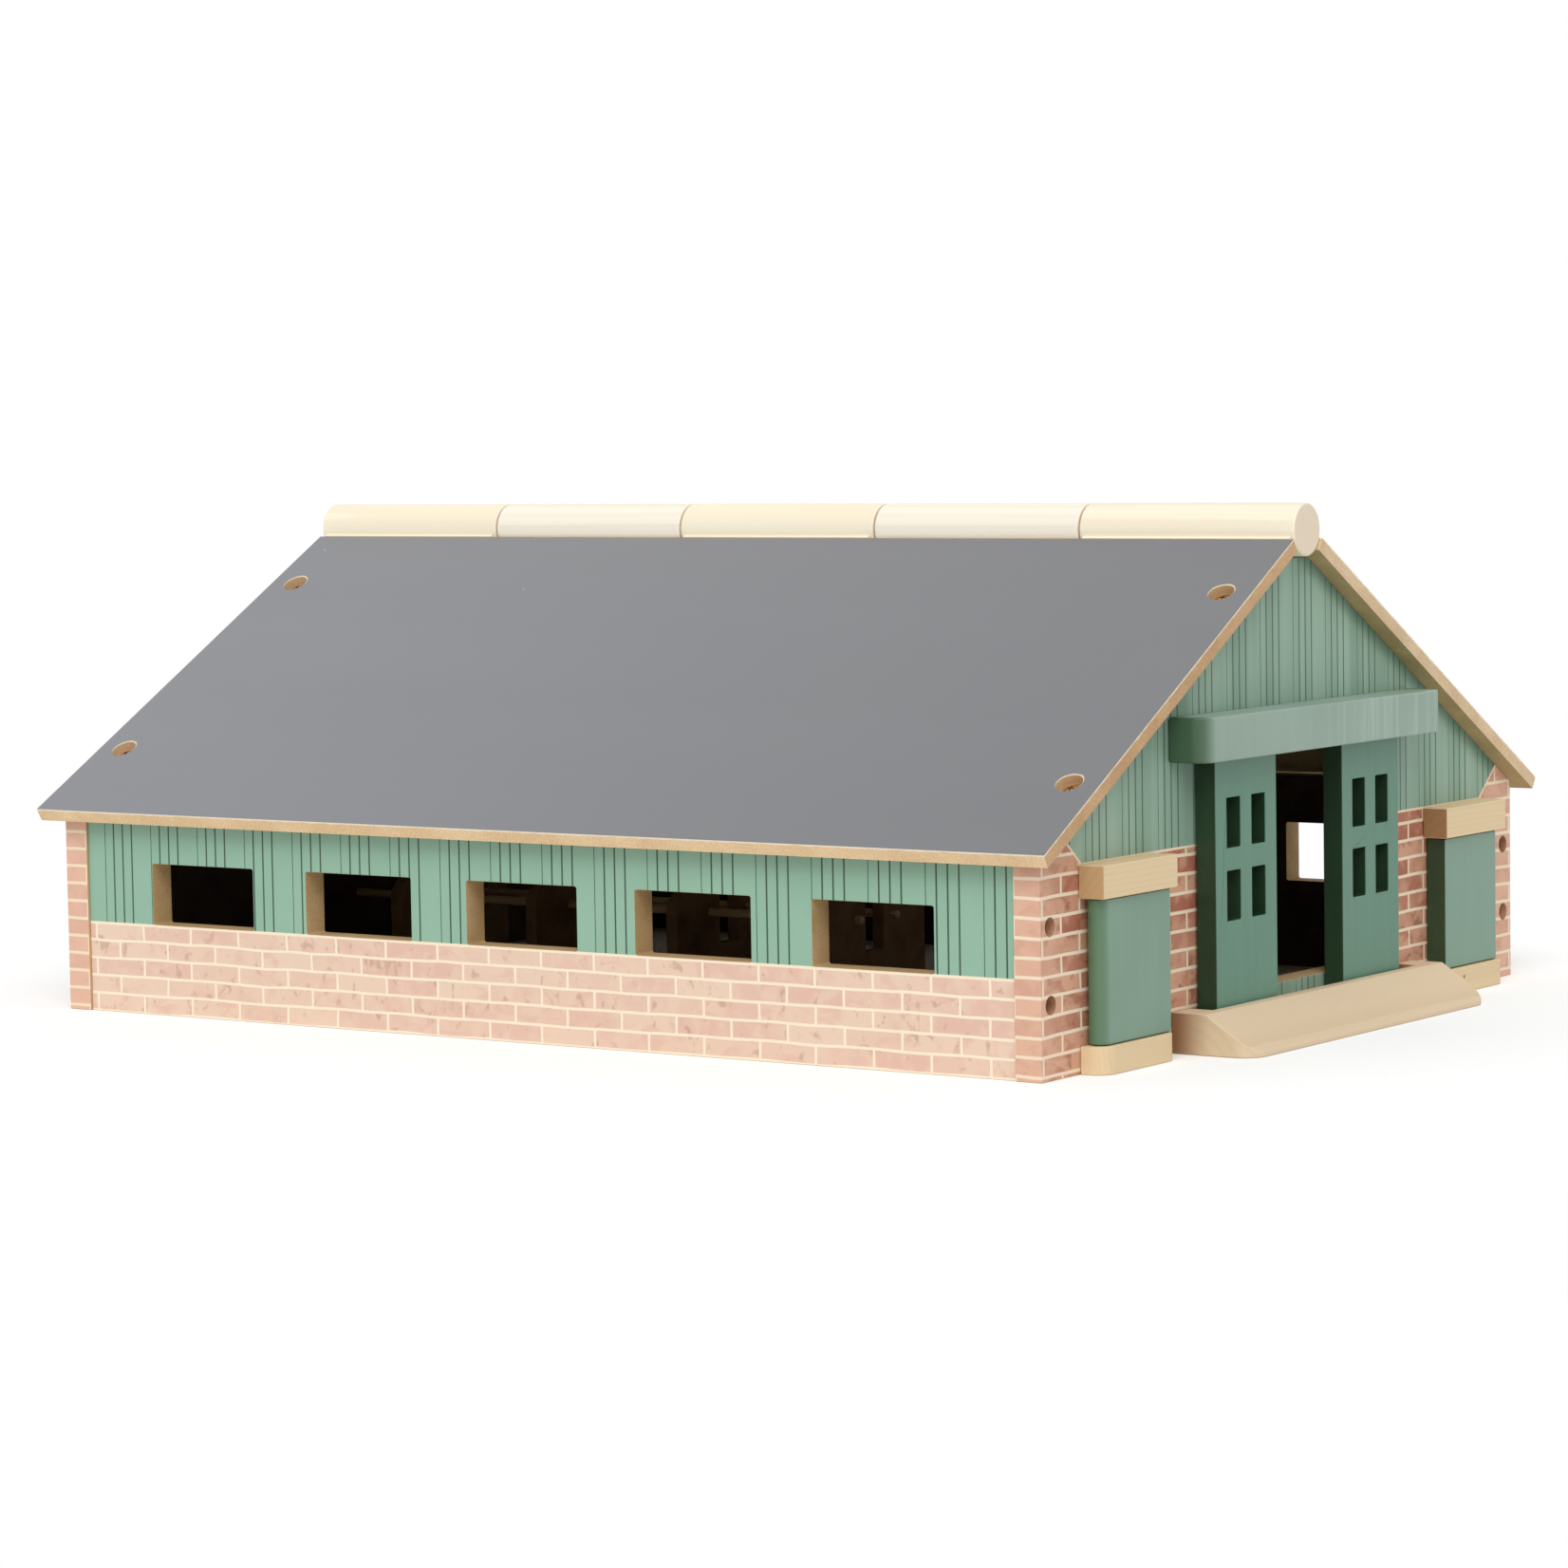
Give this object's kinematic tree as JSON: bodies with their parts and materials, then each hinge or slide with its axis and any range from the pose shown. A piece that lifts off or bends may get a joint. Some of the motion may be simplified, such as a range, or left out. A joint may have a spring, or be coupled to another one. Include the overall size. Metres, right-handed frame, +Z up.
{
  "type": "toy barn",
  "caption": "Toy barn of printed board and wood: one roof half folds back on a ridge hinge, sliding front doors run in a track, small side doors pivot, and stall dividers stand inside.",
  "frame": {"origin": "on the ground, in the middle of the rectangle that the two gables and the two side walls stand on", "axes": "+Z up, -Y out of the front gable with the sliding doors, +Y along the ridge to the rear, +X to the roof half that folds"},
  "size_m": [0.4142, 0.546, 0.2151],
  "materials": {
    "roof_board": "grey painted fibreboard, satin",
    "gable_board": "printed fibreboard, planks over bricks, satin",
    "wall_board": "printed fibreboard, planks over bricks, satin",
    "green_paint": "grey-green paint on wood, satin",
    "natural_wood": "light wood, lightly varnished",
    "rail_wood": "light wood, plain",
    "ridge_knuckle_wood": "cream wood, lightly varnished",
    "lid_knuckle_wood": "pale cream wood, lightly varnished",
    "stall_board": "brown fibreboard, matt",
    "fastener_steel": "plain steel"
  },
  "bodies": {
    "barn": {"door_lintel": "green_paint", "gable_front": "gable_board", "gable_rear": "gable_board", "hinge_pin_1": "fastener_steel", "hinge_pin_2": "fastener_steel", "hinge_pin_3": "fastener_steel", "hinge_pin_4": "fastener_steel", "lintel_screw_left": "fastener_steel", "lintel_screw_right": "fastener_steel", "neck_rail_left": "rail_wood", "neck_rail_right": "rail_wood", "ramp": "natural_wood", "ramp_screw_left": "fastener_steel", "ramp_screw_right": "fastener_steel", "ridge_knuckle_1": "ridge_knuckle_wood", "ridge_knuckle_3": "ridge_knuckle_wood", "ridge_knuckle_5": "ridge_knuckle_wood", "roof_panel_fixed": "roof_board", "roof_screw_1": "fastener_steel", "roof_screw_2": "fastener_steel", "roof_screw_3": "fastener_steel", "roof_screw_4": "fastener_steel", "side_lintel_left": "natural_wood", "side_lintel_right": "natural_wood", "side_lintel_screw_left": "fastener_steel", "side_lintel_screw_right": "fastener_steel", "side_sill_left": "natural_wood", "side_sill_right": "natural_wood", "side_sill_screw_left": "fastener_steel", "side_sill_screw_right": "fastener_steel", "side_wall_left": "wall_board", "side_wall_right": "wall_board", "stall_base": "stall_board", "stall_base_screw": "fastener_steel", "stall_divider_1": "stall_board", "stall_divider_2": "stall_board", "stall_divider_3": "stall_board", "stall_divider_4": "stall_board", "wall_screw_front_1": "fastener_steel", "wall_screw_front_2": "fastener_steel", "wall_screw_front_3": "fastener_steel", "wall_screw_front_4": "fastener_steel", "wall_screw_rear_1": "fastener_steel", "wall_screw_rear_2": "fastener_steel", "wall_screw_rear_3": "fastener_steel", "wall_screw_rear_4": "fastener_steel"},
    "roof_lid": {"roof_panel_hinged": "roof_board", "ridge_knuckle_2": "lid_knuckle_wood", "ridge_knuckle_4": "lid_knuckle_wood"},
    "left_slider": {"sliding_door_left": "green_paint"},
    "right_slider": {"sliding_door_right": "green_paint"},
    "left_leaf": {"side_door_left": "green_paint", "side_door_pin_left_lower": "fastener_steel", "side_door_pin_left_upper": "fastener_steel"},
    "right_leaf": {"side_door_right": "green_paint", "side_door_pin_right_lower": "fastener_steel", "side_door_pin_right_upper": "fastener_steel"}
  },
  "joints": [
    {"name": "roof_lid_hinge", "type": "hinge", "parent": "barn", "child": "roof_lid", "pos_m": [0, 0, 0.20414], "axis": [0, -1, 0], "range_deg": [0, 210]},
    {"name": "left_door_slide", "type": "slide", "parent": "barn", "child": "left_slider", "axis": [1, 0, 0], "range_m": [-0.0052, 0.0317]},
    {"name": "right_door_slide", "type": "slide", "parent": "barn", "child": "right_slider", "axis": [1, 0, 0], "range_m": [-0.0232, 0.0137]},
    {"name": "left_side_door_hinge", "type": "hinge", "parent": "barn", "child": "left_leaf", "pos_m": [-0.163, -0.2551, 0.0395], "axis": [0, 0, -1], "range_deg": [0, 180]},
    {"name": "right_side_door_hinge", "type": "hinge", "parent": "barn", "child": "right_leaf", "pos_m": [0.163, -0.2551, 0.0395], "axis": [0, 0, 1], "range_deg": [0, 180]}
  ]
}
